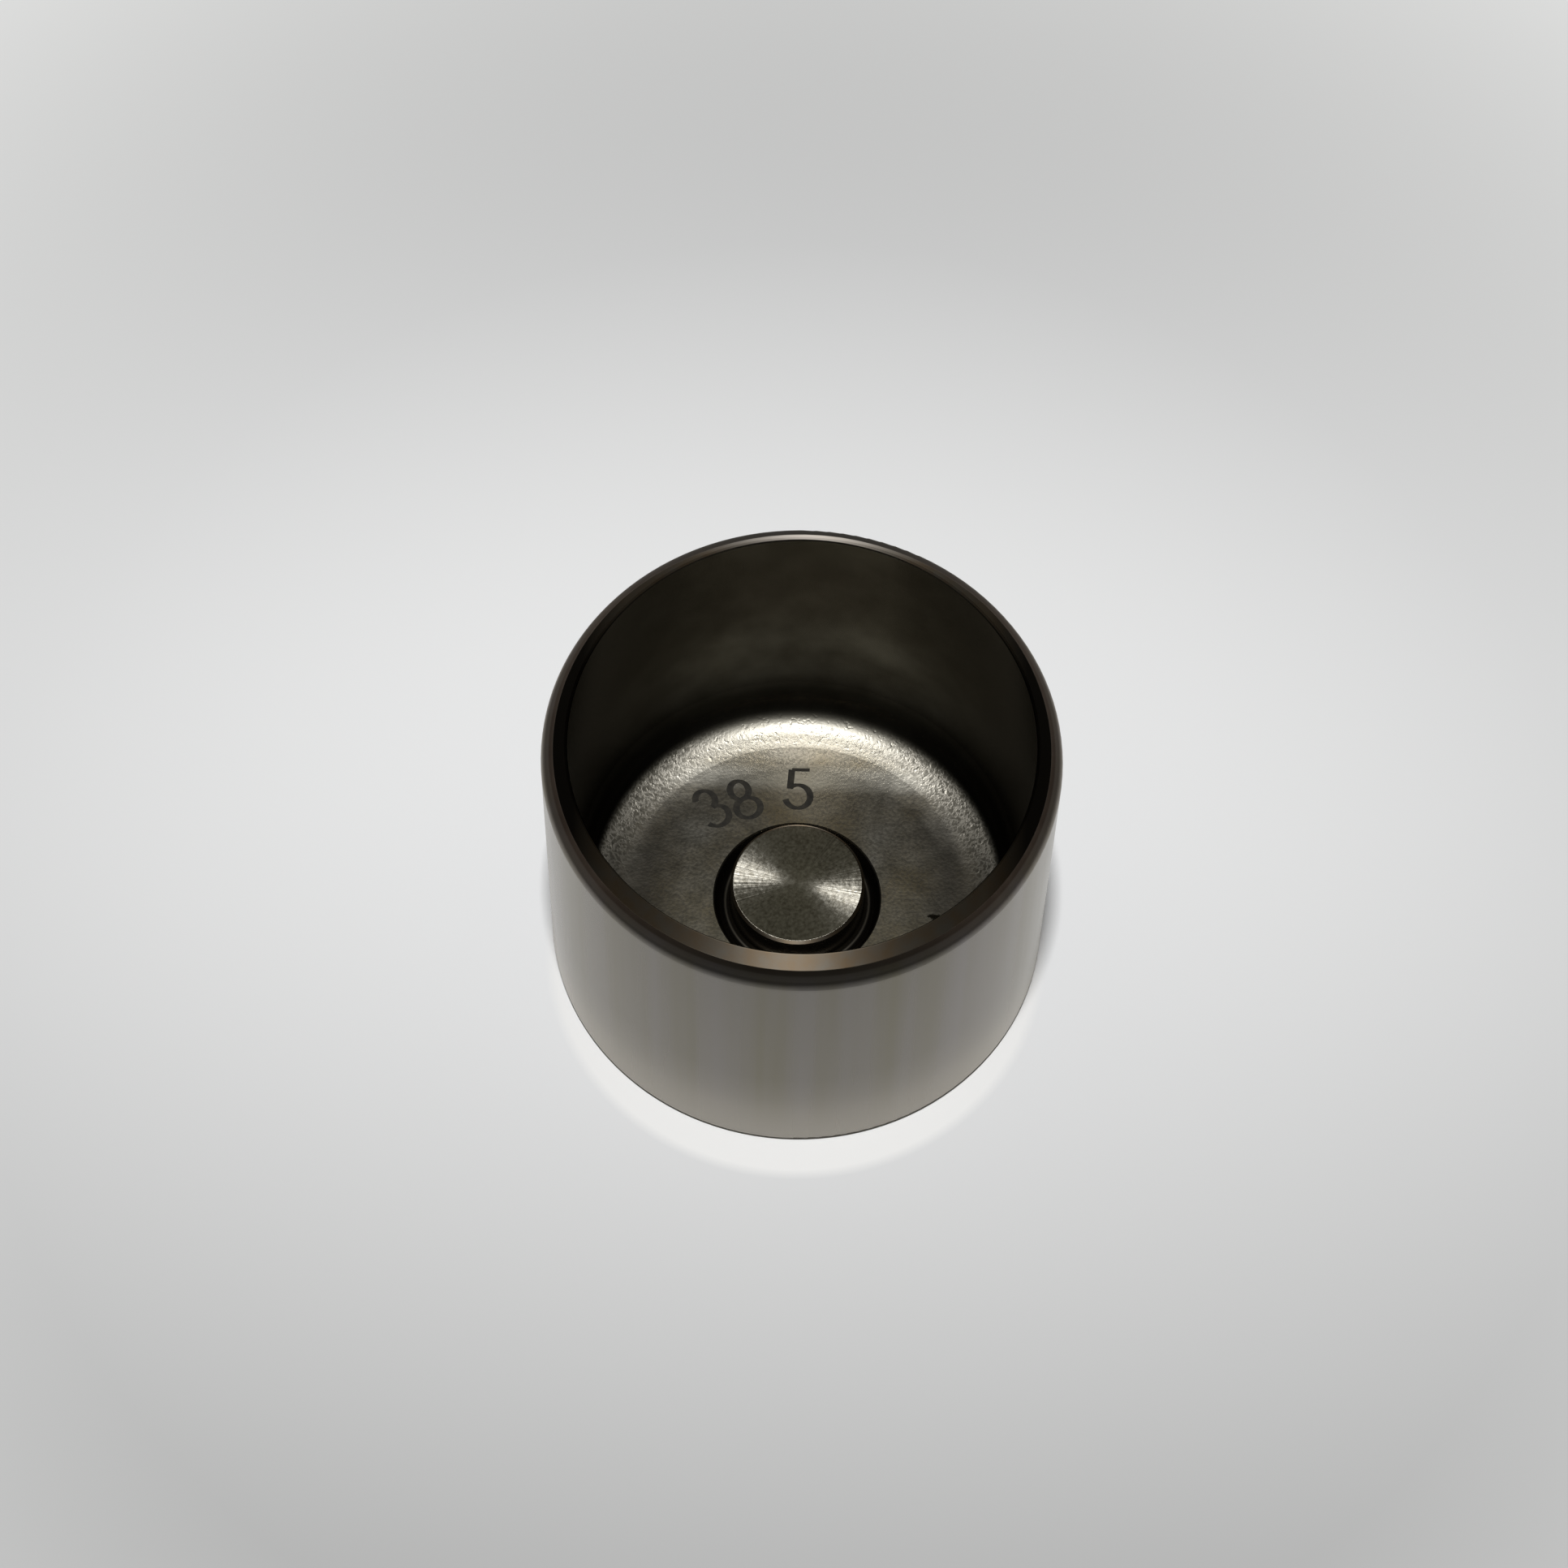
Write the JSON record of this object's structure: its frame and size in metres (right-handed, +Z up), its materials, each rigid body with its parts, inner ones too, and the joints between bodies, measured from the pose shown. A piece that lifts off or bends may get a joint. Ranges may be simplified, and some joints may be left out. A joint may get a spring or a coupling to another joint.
{
  "type": "bucket tappet",
  "caption": "Round steel bucket tappet for an overhead-cam valve train: a thin ground skirt, a flat closed end for the cam lobe, and a raised pad inside that bears on the valve stem.",
  "frame": {"origin": "centre of the flat closed end, on which the cup stands", "axes": "+Z up along the cup's axis, from the closed end towards the open end; the cup is round, so +X and +Y are free"},
  "size_m": [0.028, 0.028, 0.0209],
  "materials": {
    "ground_steel": "case-hardened steel: ground skirt and closed end, satin forged inside, turned pad and bevel"
  },
  "bodies": {
    "root": {"tappet_bucket": "ground_steel"}
  },
  "joints": []
}
